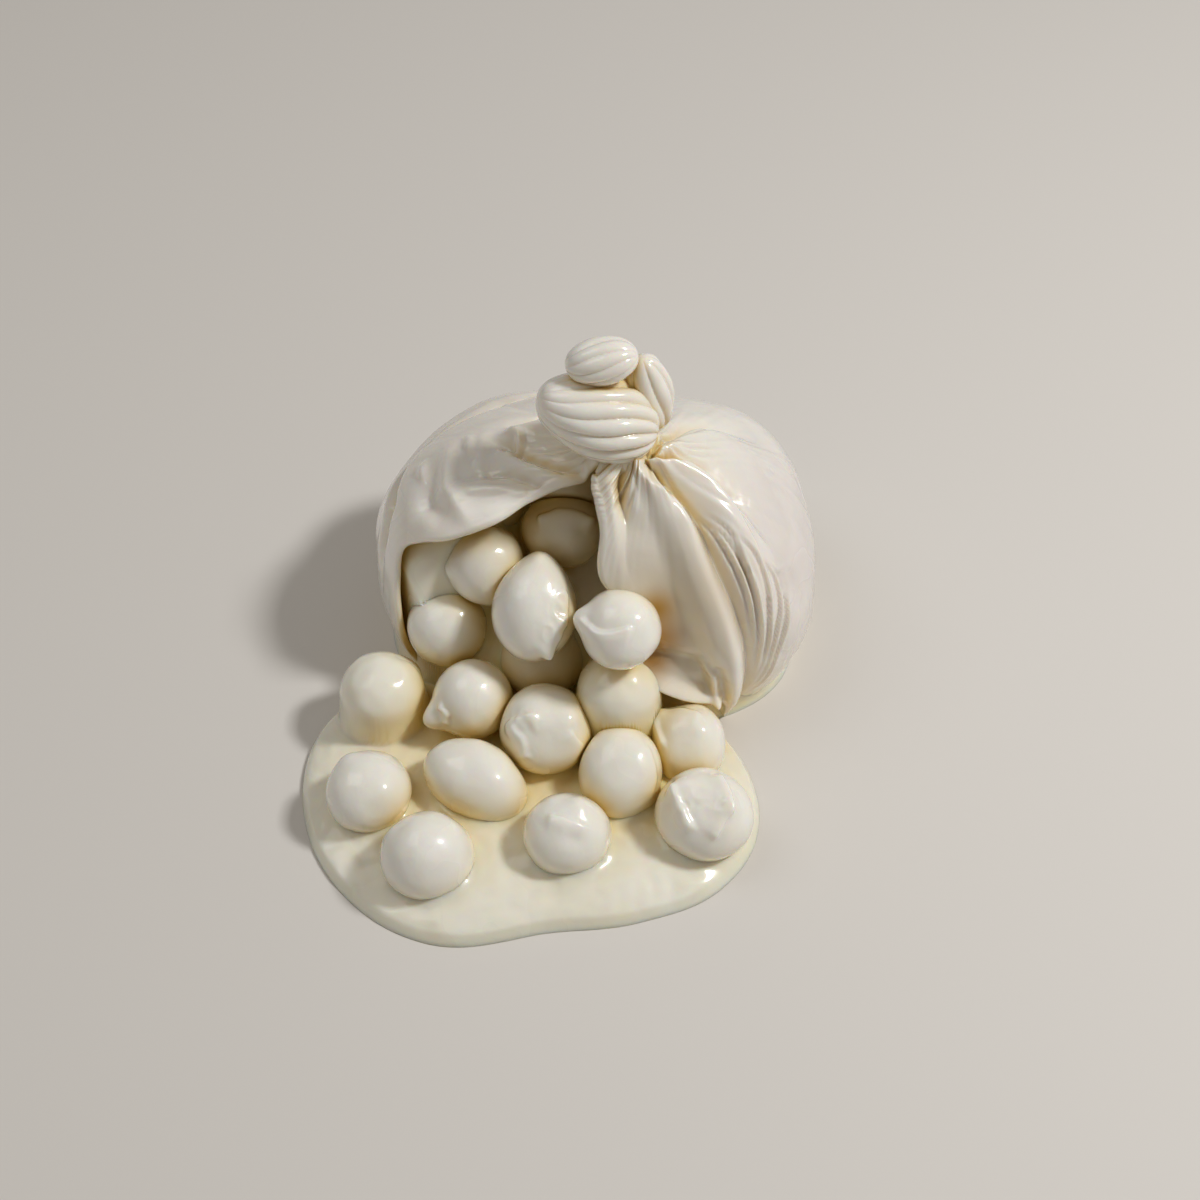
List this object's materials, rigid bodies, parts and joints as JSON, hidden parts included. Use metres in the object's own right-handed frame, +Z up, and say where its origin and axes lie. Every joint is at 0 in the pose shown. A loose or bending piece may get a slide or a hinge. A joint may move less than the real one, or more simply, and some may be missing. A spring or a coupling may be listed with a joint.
{
  "type": "opened mozzarella pouch",
  "caption": "Tied pouch of mozzarella curd cut open at the front, filled with small mozzarella balls in cream that spill out.",
  "frame": {"origin": "middle of the footprint, on the surface that the food stands on", "axes": "+Z up; -Y is the front, where the pouch is cut open and the balls spill out; +X to the right of the front"},
  "size_m": [0.1664, 0.1837, 0.1271],
  "materials": {
    "pouch_curd": "moist stretched curd with a soft satin gloss",
    "ball_curd": "wet smooth curd with small highlights",
    "cream": "glossy thick cream"
  },
  "bodies": {
    "root": {"pouch": "pouch_curd", "cream": "cream", "ball_01": "ball_curd", "ball_02": "ball_curd", "ball_03": "ball_curd", "ball_04": "ball_curd", "ball_05": "ball_curd", "ball_06": "ball_curd", "ball_07": "ball_curd", "ball_08": "ball_curd", "ball_09": "ball_curd", "ball_10": "ball_curd", "ball_11": "ball_curd", "ball_12": "ball_curd", "ball_13": "ball_curd", "ball_14": "ball_curd", "ball_15": "ball_curd", "ball_16": "ball_curd", "ball_17": "ball_curd", "ball_18": "ball_curd", "ball_19": "ball_curd", "ball_20": "ball_curd"}
  },
  "joints": []
}
